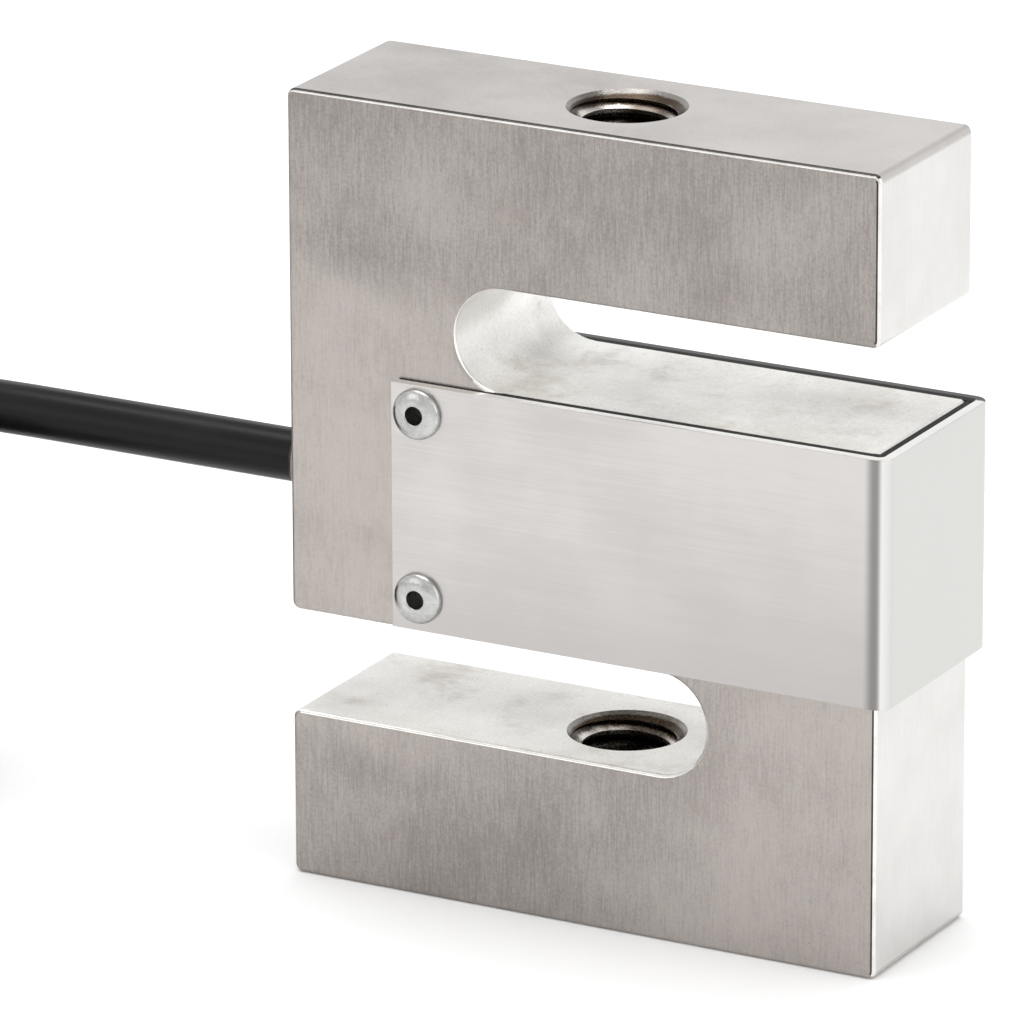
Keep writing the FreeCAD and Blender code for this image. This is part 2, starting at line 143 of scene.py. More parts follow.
class Tree:
    """Adds nodes to one node tree."""

    def __init__(self, nodes: bpy.types.NodeTree) -> None:
        """Empties the tree."""
        self.nodes = nodes
        self.nodes.nodes.clear()

    def node(self, kind: str, inputs: dict[str | int, object] | None = None,
             **settings: object) -> bpy.types.Node:
        """Adds a node.

        Args:
            kind: The node's type name.
            inputs: Values or sources for its inputs, by name or index.
            **settings: Properties set on the node itself.

        Returns:
            The new node.
        """
        made = self.nodes.nodes.new(kind)
        for name, value in settings.items():
            setattr(made, name, value)
        for key, value in (inputs or {}).items():
            self.feed(made.inputs[key], value)
        return made

    def feed(self, socket: bpy.types.NodeSocket, value: object) -> None:
        """Links a source to a socket, or sets the socket's constant.

        Args:
            socket: The input socket.
            value: A value or socket to link, or a plain constant.
        """
        source = value.source if isinstance(value, Value) else value
        if isinstance(source, bpy.types.NodeSocket):
            self.nodes.links.new(source, socket)
        else:
            socket.default_value = source

    def math(self, operation: str, first: Operand, second: Operand = 0.0,
             clamp: bool = False) -> Value:
        """One arithmetic step between values or plain numbers.

        Args:
            operation: What the node works out.
            first: Its first operand.
            second: Its second operand, where it has one.
            clamp: Keeps the result between 0 and 1.

        Returns:
            The result.
        """
        made = self.node("ShaderNodeMath", {0: first, 1: second},
                         operation=operation, use_clamp=clamp)
        return Value(self, made.outputs[0])

    def parts(self, source: bpy.types.NodeSocket) -> tuple[Value, Value, Value]:
        """Takes a vector apart.

        Args:
            source: The socket that gives it.

        Returns:
            Its X, Y and Z.
        """
        made = self.node("ShaderNodeSeparateXYZ", {0: source})
        x, y, z = (Value(self, output) for output in made.outputs)
        return x, y, z

    def span(self, value: Operand, low: float, high: float, out_low: float = 0.0,
             out_high: float = 1.0) -> Value:
        """Carries a range of a value smoothly over to another range.

        Args:
            value: The value, held to its range.
            low: Start of its range, which may be the higher end.
            high: End of its range.
            out_low: The result at the start.
            out_high: The result at the end.

        Returns:
            The result.
        """
        made = self.node("ShaderNodeMapRange", {
            "Value": value, "From Min": low, "From Max": high,
            "To Min": out_low, "To Max": out_high,
        }, interpolation_type="SMOOTHSTEP")
        return Value(self, made.outputs[0])


class Paint(Tree):
    """Builds the node tree of one material."""

    def __init__(self, name: str) -> None:
        """Makes the material with its main shader.

        Args:
            name: The material's name.
        """
        self.material = bpy.data.materials.new(name)
        self.material.use_nodes = True
        super().__init__(self.material.node_tree)
        self.shader = self.node("ShaderNodeBsdfPrincipled")
        self.node("ShaderNodeOutputMaterial", {"Surface": self.shader.outputs["BSDF"]})
        self.place = self.node("ShaderNodeTexCoord").outputs["Object"]

    def noise(self, size: float, stretch: Sequence[float] = (1, 1, 1), detail: float = 3.0,
              roughness: float = 0.5, shift: float = 0.0) -> Value:
        """Noise around 0.5.

        Args:
            size: Size of its features in metres.
            stretch: How fast it varies along X, Y and Z.
            detail: Octaves of finer noise.
            roughness: Strength of the finer octaves.
            shift: Moves the pattern, so that two uses differ.

        Returns:
            The noise's value, from 0 to 1.
        """
        mapped = self.node("ShaderNodeMapping", {
            "Vector": self.place,
            "Location": (shift, shift * 0.7, shift * 1.3),
            "Scale": tuple(s / size for s in stretch),
        })
        made = self.node("ShaderNodeTexNoise", {
            "Vector": mapped.outputs[0], "Scale": 1.0, "Detail": detail, "Roughness": roughness,
        })
        return Value(self, made.outputs["Fac"])

    def axis(self, index: int) -> Value:
        """One coordinate of the object, in metres."""
        return self.parts(self.place)[index]

    def blend(self, amount: Operand, first: Value | Colour, second: Colour) -> Value:
        """Mixes a colour with a plain one.

        Args:
            amount: The second colour's share, from 0 to 1.
            first: A colour, plain or from a node.
            second: A plain colour.

        Returns:
            The mixed colour.
        """
        start = first if isinstance(first, Value) else (*first, 1.0)
        made = self.node("ShaderNodeMix", {0: amount, 6: start, 7: (*second, 1.0)},
                         data_type="RGBA")
        return Value(self, made.outputs[2])

    def rough(self, pattern: Value, change: float, mean: float) -> Value:
        """A roughness that follows a pattern around 0.5, by a share of it."""
        return self.math("ADD", (pattern - 0.5) * change, mean, clamp=True)

    def bump(self, height: Value, depth: float) -> None:
        """Adds relief to the surface.

        Args:
            height: The relief's pattern.
            depth: Its depth in metres.
        """
        made = self.node("ShaderNodeBump", {"Height": height, "Distance": depth, "Strength": 1.0})
        self.feed(self.shader.inputs["Normal"], made.outputs[0])

    def set(self, **inputs: object) -> None:
        """Feeds the main shader's inputs: Base_Color stands for Base Color."""
        for name, value in inputs.items():
            self.feed(self.shader.inputs[name.replace("_", " ")], value)


@dataclass(frozen=True)
class GroundMetal:
    """A ground, brushed or drawn metal surface.

    Args:
        name: The material's name.
        light: Colour of its brighter streaks and clouds.
        dark: Colour of its darker ones.
        roughness: Mean roughness.
        grain: Direction of the brushing.
        streak: Width of one brushed line.
        streak_share: How much the lines change the colour.
        cloud: Size of the soft mottling.
        cloud_share: How much the mottling changes the colour.
        relief: Depth of the brushed lines.
        stain: Colour of stains, or None.
        stain_share: How strong the stains are.
        stain_size: Size of one stain.
        painted_tone: Colour of painted light and shade laid over part of the surface, or None.
        painted_from: Where along X the painted tone is full.
        painted_to: Where along X the painted tone has faded out.
        grit: How much the fine grain without direction changes the colour.
        pits: How much fine dark specks show, from 0 to 1.
    """

    name: str
    light: Colour
    dark: Colour
    roughness: float = 0.35
    grain: Grain = Grain.NONE
    streak: float = 0.00022
    streak_share: float = 0.35
    cloud: float = 0.009
    cloud_share: float = 0.65
    relief: float = 0.000004
    stain: Colour | None = None
    stain_share: float = 0.0
    stain_size: float = 0.006
    painted_tone: Colour | None = None
    painted_from: float = 0.030
    painted_to: float = -0.030
    grit: float = 0.0
    pits: float = 0.0

    def painted_share(self, paint: Paint) -> Value:
        """Where the painted tone lies, from 0 to 1: stronger towards +X."""
        return paint.span(paint.axis(0), self.painted_to, self.painted_from)

    def make(self) -> bpy.types.Material:
        """Builds the material out of brushed lines, mottling, stains, specks and, where one is
        given, a painted tone of light and shade.
        """
        paint = Paint(self.name)
        lines = paint.noise(self.streak, self.grain.value, detail=4.0, roughness=0.65)
        clouds = paint.noise(self.cloud, detail=4.0, roughness=0.6, shift=3.1)
        amount = lines * self.streak_share + clouds * self.cloud_share
        if self.grit:
            grain = paint.noise(0.0003, detail=3.0, roughness=0.7, shift=1.3)
            amount = amount + (grain - 0.5) * self.grit
        colour = paint.blend(paint.span(amount, 0.28, 0.72), self.dark, self.light)
        # Painted light and shade: the painted tone is laid over the colour where painted_share puts
        # it.
        if self.painted_tone is not None:
            share = self.painted_share(paint) * paint.span(amount, 0.3, 0.7, 0.55, 0.95)
            colour = paint.blend(share, colour, self.painted_tone)
        if self.stain is not None:
            spots = paint.noise(self.stain_size, detail=6.0, roughness=0.7, shift=8.4)
            colour = paint.blend(paint.span(spots, 0.5, 0.74, 0.0, self.stain_share),
                                 colour, self.stain)
        if self.pits:
            specks = paint.noise(0.00035, detail=2.0, roughness=0.8, shift=5.5)
            colour = paint.blend(paint.span(specks, 0.66, 0.78, 0.0, self.pits),
                                 colour, (0.12, 0.10, 0.08))
        paint.set(Base_Color=colour, Metallic=1.0,
                  Roughness=paint.rough(lines, 0.16, self.roughness))
        paint.bump(lines, self.relief)
        return paint.material


@dataclass(frozen=True)
class ColumnMetal(GroundMetal):
    """The block's ground faces, with painted light on the two columns of the S."""

    def painted_share(self, paint: Paint) -> Value:
        """Finds the left column between the slots and the right one below the cover.

        Args:
            paint: The material's node tree.

        Returns:
            How much painted light lies there, from 0 to 1.
        """
        clouds = (paint.noise(0.008, detail=3.0, shift=7.7) - 0.5) * 0.012
        x, z = paint.axis(0) + clouds, paint.axis(2) + clouds
        # Painted light on the left column between the slots and on the right column below the cover.
        left = (paint.span(x, -0.004, -0.018) * paint.span(z, 0.063, 0.054)
                * paint.span(z, 0.010, 0.018))
        right = paint.span(x, 0.002, 0.018) * paint.span(z, 0.046, 0.034)
        return left + right * 0.75


@dataclass(frozen=True)
class RimPaintedLight(GroundMetal):
    """The cover sheet's cut edge: its near-white colour is a painted highlight, with painted shade
    along the rear wing.
    """

    def painted_share(self, paint: Paint) -> Value:
        """Where the painted shade lies: the rear wing's share of the edge."""
        return paint.span(paint.axis(1), 0.0090, 0.0096, 0.0, 2.0)


@dataclass(frozen=True)
class ThreadMetal:
    """The tapped holes' steel: light crests, with painted shade in the thread roots and across the
    middle of each hole.

    Args:
        name: The material's name.
        crest: Radius where the painted shade of the roots begins.
        root: Radius where that painted shade is full.
        lip: Radius where the countersink's own colour begins, outside the painted shade.
        crest_colour: Colour of the crests.
        painted_thread_shade: Colour of the painted shade in the roots and across the middle of the
            hole.
        bevel: Colour of the countersink outside the thread.
        roughness: Mean roughness.
    """

    name: str
    bevel: Colour = (0.28, 0.265, 0.25)
    crest: float = 0.00435
    root: float = 0.00480
    lip: float = 0.00530
    crest_colour: Colour = (0.80, 0.76, 0.71)
    painted_thread_shade: Colour = (0.075, 0.055, 0.04)
    roughness: float = 0.26

    def make(self) -> bpy.types.Material:
        """Builds the material."""
        paint = Paint(self.name)
        x, y = paint.axis(0), paint.axis(1)
        radius = paint.math("SQRT", x * x + y * y)
        shade_wobble = paint.noise(0.0016, (1, 1, 0.5), detail=5.0, roughness=0.7)
        fine = paint.noise(0.0003, (1, 1, 3), detail=3.0, shift=1.7)
        shift = (shade_wobble - 0.5) * 0.0011
        # Painted shade: the thread roots darker than the crests.
        deep = paint.span(radius + shift, self.crest, self.root)
        outside = paint.span(radius + shift * 0.3, self.lip - 0.00018, self.lip)
        # Painted shade: the middle of the hole darker across X.
        middle = paint.span(abs(x) + shift, 0.0034, 0.0012, 0.0, 0.9)
        colour = paint.blend(deep, self.crest_colour, self.painted_thread_shade)
        colour = paint.blend(outside, paint.blend(middle, colour, self.painted_thread_shade), self.bevel)
        paint.set(Base_Color=colour, Metallic=1.0,
                  Roughness=paint.rough(fine, 0.3, self.roughness))
        paint.bump(fine, 0.00002)
        return paint.material


@dataclass(frozen=True)
class FoldedSheet:
    """Brushed sheet metal with painted light and shade: a painted shade line where each bend begins,
    a painted highlight on the outside of each bend, painted shade towards the lower edge and a
    painted tone on the web.

    Args:
        name: The material's name.
        light: Colour of its brighter streaks.
        dark: Colour of its darker ones.
        low: Colour of the painted shade towards the sheet's lower edge.
        web: Colour of the web between the bends, a tone painted for the light on it.
        painted_bend_highlight: Colour of the painted highlight on the outside of a bend.
        painted_bend_shade: Colour of the painted shade line along a bend.
        bend: Where along X the bends begin.
        roughness: Mean roughness.
    """

    name: str
    light: Colour = (0.588, 0.566, 0.552)
    dark: Colour = (0.508, 0.486, 0.473)
    low: Colour = (0.44, 0.418, 0.405)
    web: Colour = (0.565, 0.565, 0.548)
    painted_bend_highlight: Colour = (0.74, 0.74, 0.73)
    painted_bend_shade: Colour = (0.18, 0.18, 0.175)
    bend: float = 0.0300
    roughness: float = 0.30

    def make(self) -> bpy.types.Material:
        """Builds the material."""
        paint = Paint(self.name)
        x = paint.axis(0)
        lines = paint.noise(0.00016, (0.02, 1.0, 1.0), detail=5.0, roughness=0.7)
        broad = paint.noise(0.0011, (0.05, 1.0, 1.0), detail=3.0, shift=4.2)
        clouds = paint.noise(0.014, detail=3.0, shift=6.1)
        amount = lines * 0.34 + broad * 0.13 + clouds * 0.53
        colour = paint.blend(paint.span(amount, 0.38, 0.62), self.dark, self.light)
        # Painted shade: darker towards the lower edge.
        painted_lower_shade = paint.span(paint.axis(2) - x * 0.15, 0.042, 0.022, 0.0, 0.8)
        colour = paint.blend(painted_lower_shade, colour, self.low)
        # The web's own painted tone for the light on it.
        past = paint.span(x, self.bend + 0.0006, self.bend + 0.0009)
        colour = paint.blend(past, colour, self.web)
        # Painted highlight on the outside of each bend.
        outside = past * paint.span(abs(paint.axis(1)), 0.0092, 0.0108)
        colour = paint.blend(outside, colour, self.painted_bend_highlight)
        # Painted shade line where each bend begins.
        start = paint.span(x, self.bend - 0.0009, self.bend + 0.0002)
        line = start * (1.0 - paint.span(x, self.bend + 0.0004, self.bend + 0.0009))
        colour = paint.blend(line * 0.85, colour, self.painted_bend_shade)
        paint.set(Base_Color=colour, Metallic=1.0,
                  Roughness=paint.rough(lines, 0.09, self.roughness))
        paint.bump(lines, 0.000004)
        return paint.material


@dataclass(frozen=True)
class Moulded:
    """Plastic, rubber, lacquer or resin.

    Args:
        name: The material's name.
        colour: Its colour.
        other: The colour it varies towards.
        roughness: Mean roughness.
        texture: Size of its fine texture.
        relief: Depth of its fine texture.
        gloss: Strength of its plain reflections, 0.5 being usual.
    """

    name: str
    colour: Colour
    other: Colour
    roughness: float = 0.45
    texture: float = 0.0004
    relief: float = 0.00001
    gloss: float = 0.5

    def make(self) -> bpy.types.Material:
        """Builds the material."""
        paint = Paint(self.name)
        fine = paint.noise(self.texture, detail=3.0)
        broad = paint.noise(self.texture * 22, detail=3.0, shift=2.2)
        paint.set(Base_Color=paint.blend(paint.span(broad, 0.35, 0.65), self.colour, self.other),
                  Roughness=paint.rough(broad, 0.2, self.roughness),
                  Specular_IOR_Level=self.gloss)
        paint.bump(fine, self.relief)
        return paint.material


def finishes() -> Finishes:
    """Every material of the object, by name."""
    metals = [
        # The block's face, top, slot and end finishes are lit and shaded copies of one ground steel:
        # their different tones are painted light and shade, while their stains and specks are the
        # steel's own.
        ColumnMetal("block_face", (0.40, 0.369, 0.348), (0.245, 0.223, 0.208), 0.36, Grain.Z,
                    streak=0.00016, streak_share=0.55, cloud=0.011, cloud_share=0.45,
                    stain=(0.22, 0.18, 0.155), stain_share=0.25, stain_size=0.012,
                    painted_tone=(0.47, 0.43, 0.403), grit=0.4, pits=0.3),
        # Painted light on the top: lighter towards +X.
        GroundMetal("block_top", (0.59, 0.566, 0.545), (0.46, 0.437, 0.418), 0.36,
                    streak_share=0.3, cloud_share=0.7, stain=(0.36, 0.32, 0.29),
                    stain_share=0.3, stain_size=0.010, painted_tone=(0.65, 0.625, 0.607),
                    grit=0.4, pits=0.3),
        GroundMetal("block_slot", (0.97, 0.965, 0.945), (0.79, 0.77, 0.735), 0.42,
                    streak_share=0.3, cloud_share=0.7, stain=(0.46, 0.38, 0.31),
                    stain_share=0.5, stain_size=0.007, grit=0.6, pits=0.7),
        GroundMetal("block_end", (0.72, 0.715, 0.70), (0.64, 0.63, 0.615), 0.38, Grain.Z,
                    streak_share=0.4, cloud_share=0.6),
        # Painted highlight and painted shade for the block's rounded edges.
        GroundMetal("edge_bright", (0.86, 0.85, 0.83), (0.68, 0.66, 0.64), 0.2, cloud=0.002),
        GroundMetal("edge_dark", (0.075, 0.068, 0.063), (0.035, 0.031, 0.028), 0.3, cloud=0.002),
        ThreadMetal("thread_steel"),
        FoldedSheet("cover_steel"),
        # The sheet's cut edge: its near-white colour is a painted highlight, and the dark tone on
        # the rear wing is painted shade.
        RimPaintedLight("sheet_rim", (0.96, 0.955, 0.94), (0.88, 0.87, 0.855), 0.3, cloud=0.003,
                 painted_tone=(0.045, 0.048, 0.044)),
        GroundMetal("rivet_aluminium", (0.58, 0.58, 0.57), (0.38, 0.38, 0.375), 0.22,
                    cloud=0.0018, relief=0.00001, grit=0.3),
        GroundMetal("mandrel_steel", (0.12, 0.11, 0.10), (0.04, 0.04, 0.04), 0.5),
        GroundMetal("sleeve_metal", (0.30, 0.27, 0.25), (0.16, 0.14, 0.13), 0.4, Grain.Y,
                    cloud=0.002),
        GroundMetal("fine_wire", (0.72, 0.34, 0.16), (0.55, 0.22, 0.10), 0.3),
    ]
    plastics = [
        Moulded("gasket_rubber", (0.008, 0.008, 0.008), (0.014, 0.013, 0.012), 0.6, gloss=0.2),
        Moulded("cable_jacket", (0.004, 0.004, 0.0045), (0.008, 0.008, 0.0085), 0.34,
                gloss=0.19),
        Moulded("gauge_foil", (0.72, 0.42, 0.10), (0.62, 0.34, 0.08), 0.35),
        Moulded("board_laminate", (0.05, 0.22, 0.09), (0.04, 0.17, 0.07), 0.35),
        Moulded("resistor_body", (0.03, 0.03, 0.035), (0.05, 0.05, 0.05), 0.4),
        Moulded("potting", (0.80, 0.79, 0.75), (0.72, 0.71, 0.67), 0.3),
        Moulded("core_red", (0.55, 0.02, 0.015), (0.45, 0.02, 0.015), 0.35),
        Moulded("core_green", (0.02, 0.28, 0.07), (0.02, 0.22, 0.06), 0.35),
        Moulded("core_white", (0.80, 0.79, 0.76), (0.72, 0.71, 0.68), 0.35),
        Moulded("core_black", (0.015, 0.015, 0.016), (0.025, 0.025, 0.025), 0.35),
        Moulded("tie_nylon", (0.02, 0.02, 0.021), (0.03, 0.03, 0.03), 0.42),
        Moulded("shrink", (0.015, 0.015, 0.015), (0.025, 0.025, 0.025), 0.5),
    ]
    return {finish.name: finish.make() for finish in metals + plastics}


# ------------------------------------------------------------------ mesh tools
def box(node: str) -> tuple[Vector, Vector]:
    """Reads a CAD node's box.

    Args:
        node: The node's name.

    Returns:
        Its low and its high corner.
    """
    low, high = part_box(node)
    return Vector(low), Vector(high)


def link(name: str, data: bpy.types.ID) -> bpy.types.Object:
    """Makes an object and puts it into the scene.

    Args:
        name: Its name.
        data: Its mesh, curve, camera or light.

    Returns:
        The object.
    """
    made = bpy.data.objects.new(name, data)
    bpy.context.scene.collection.objects.link(made)
    return made


def place(name: str, bm: bmesh.types.BMesh, *materials: bpy.types.Material) -> bpy.types.Object:
    """Turns mesh code's result into an object of the scene.

    Args:
        name: The object's name.
        bm: The mesh, which is freed.
        *materials: Its material slots.

    Returns:
        The object.
    """
    mesh = bpy.data.meshes.new(name)
    bmesh.ops.recalc_face_normals(bm, faces=bm.faces)
    bm.to_mesh(mesh)
    bm.free()
    for material in materials:
        mesh.materials.append(material)
    return link(name, mesh)


def settle(made: bpy.types.Object) -> None:
    """Applies an object's modifiers to its mesh.

    Args:
        made: The object.
    """
    evaluated = made.evaluated_get(bpy.context.evaluated_depsgraph_get())
    mesh = bpy.data.meshes.new_from_object(evaluated)
    made.modifiers.clear()
    made.data = mesh


def carve(made: bpy.types.Object, cutters: Iterable[bpy.types.Object]) -> None:
    """Cuts other objects out of one and removes them.

    Args:
        made: The object that is cut.
        cutters: What is cut out, one after the other.
    """
    for cutter in cutters:
        modifier = made.modifiers.new("cut", "BOOLEAN")
        modifier.object = cutter
        modifier.solver = "EXACT"
        modifier.material_mode = "TRANSFER"
        settle(made)
        bpy.data.objects.remove(cutter)


def smooth(made: bpy.types.Object, angle: float = 35.0) -> None:
    """Shades an object smooth.

    Args:
        made: The object.
        angle: Edges sharper than this stay sharp, in degrees.
    """
    mesh = made.data
    mesh.shade_smooth()
    mesh.set_sharp_from_angle(angle=math.radians(angle))
    weighted = made.modifiers.new("weighted", "WEIGHTED_NORMAL")
    weighted.keep_sharp = True
    settle(made)


def stand_for(made: bpy.types.Object, slot: str, *nodes: str) -> bpy.types.Object:
    """Puts an object on the model.

    Args:
        made: The object.
        slot: Not used.
        *nodes: CAD nodes that it replaces.

    Returns:
        The object.
    """
    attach(made, BODY)
    if nodes:
        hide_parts(*nodes)
    return made


def rounded_outline(corners: Sequence[tuple[float, float, float]],
                    step: float = 9.0) -> list[Vector]:
    """A closed flat outline with round corners.

    Args:
        corners: Place (two coordinates) and radius of each corner, in order.
        step: Angle between an arc's points, in degrees.

    Returns:
        The outline's points as two-dimensional vectors.
    """
    points: list[Vector] = []
    for index, (x, z, radius) in enumerate(corners):
        corner = Vector((x, z))
        back = (Vector(corners[index - 1][:2]) - corner).normalized()
        ahead = (Vector(corners[(index + 1) % len(corners)][:2]) - corner).normalized()
        half = back.angle(ahead) / 2
        centre = corner + (back + ahead).normalized() * (radius / math.sin(half))
        start = corner + back * (radius / math.tan(half)) - centre
        turn = math.copysign(math.pi - 2 * half, back.cross(ahead))
        count = max(1, round(math.degrees(abs(turn)) / step))
        arc = [centre + Matrix.Rotation(-turn * k / count, 2) @ start for k in range(count + 1)]
        points += arc if not points or (arc[0] - points[-1]).length > TOUCH else arc[1:]
    return points


def prism(outline: Sequence[Vector], lift: Matrix, length: float) -> bmesh.types.BMesh:
    """Extrudes a flat outline.

    Args:
        outline: Points in the outline's own plane.
        lift: Carries that plane's (x, y, 0) into the model's frame.
        length: How far it goes along the plane's own third axis.

    Returns:
        The closed mesh.
    """
    bm = bmesh.new()
    base = bm.faces.new([bm.verts.new((p.x, p.y, 0.0)) for p in outline])
    grown = bmesh.ops.extrude_face_region(bm, geom=[base])
    moved = [v for v in grown["geom"] if isinstance(v, bmesh.types.BMVert)]
    bmesh.ops.translate(bm, verts=moved, vec=(0, 0, length))
    bmesh.ops.transform(bm, matrix=lift, verts=bm.verts)
    bmesh.ops.recalc_face_normals(bm, faces=bm.faces)
    return bm


def along_y(y: float) -> Matrix:
    """A plane for outlines in X and Z that extrude towards +Y from y."""
    return Matrix(((1, 0, 0, 0), (0, 0, 1, y), (0, 1, 0, 0), (0, 0, 0, 1)))


def along_z(z: float) -> Matrix:
    """A plane for outlines in X and Y that extrude towards +Z from z."""
    return Matrix.Translation((0, 0, z))


def cylinder(radius: float, start: Vector, end: Vector, segments: int = 48,
             end_radius: float | None = None) -> bmesh.types.BMesh:
    """A round bar or cone.

    Args:
        radius: Its radius at the start.
        start: Where its axis starts.
        end: Where its axis ends.
        segments: Sides of its circle.
        end_radius: Its radius at the end, where that differs.

    Returns:
        The closed mesh.
    """
    axis = end - start
    bm = bmesh.new()
    turn = Vector((0, 0, 1)).rotation_difference(axis).to_matrix().to_4x4()
    bmesh.ops.create_cone(bm, cap_ends=True, segments=segments, radius1=radius,
                          radius2=radius if end_radius is None else end_radius,
                          depth=axis.length,
                          matrix=Matrix.Translation((start + end) / 2) @ turn)
    return bm


def spun(profile: Sequence[tuple[float, float]], origin: Vector, axis: Vector,
         steps: int = 48) -> bmesh.types.BMesh:
    """Spins a profile about an axis.

    Args:
        profile: Radius and height of each of its points, as a closed loop.
        origin: Where height is 0 on the axis.
        axis: The axis's direction.
        steps: Sides of the circle.

    Returns:
        The closed mesh.
    """
    side = axis.orthogonal().normalized()
    bm = bmesh.new()
    verts = [bm.verts.new(origin + side * r + axis * h) for r, h in profile]
    edges = [bm.edges.new((verts[k - 1], verts[k])) for k in range(len(verts))]
    bmesh.ops.spin(bm, geom=verts + edges, cent=origin, axis=axis, angle=math.tau,
                   steps=steps, use_merge=True)
    bmesh.ops.remove_doubles(bm, verts=bm.verts, dist=1e-8)
    return bm


# ------------------------------------------------------------------ the block
# How far a face's normal leans over to the front or rear, from 0 to 1.
FLAT = 0.995
NEAR_FACE = 0.9
HALF_WAY = 0.7
FAR_FROM_FACE = 0.3


class Skin(IntEnum):
    """The block's material slots: lit and shaded copies of one ground steel for its faces, top,
    slots and ends, painted highlight and painted shade for its edges, and the thread's steel.
    """

    FACE = 0
    TOP = 1
    SLOT = 2
    END = 3
    EDGE_BRIGHT = 4
    EDGE_DARK = 5
    THREAD = 6

    def finish_name(self) -> str:
        """The name of the slot's finish."""
        special = {Skin.EDGE_BRIGHT: "edge_bright", Skin.EDGE_DARK: "edge_dark",
                   Skin.THREAD: "thread_steel"}
        return special.get(self, f"block_{self.name.lower()}")


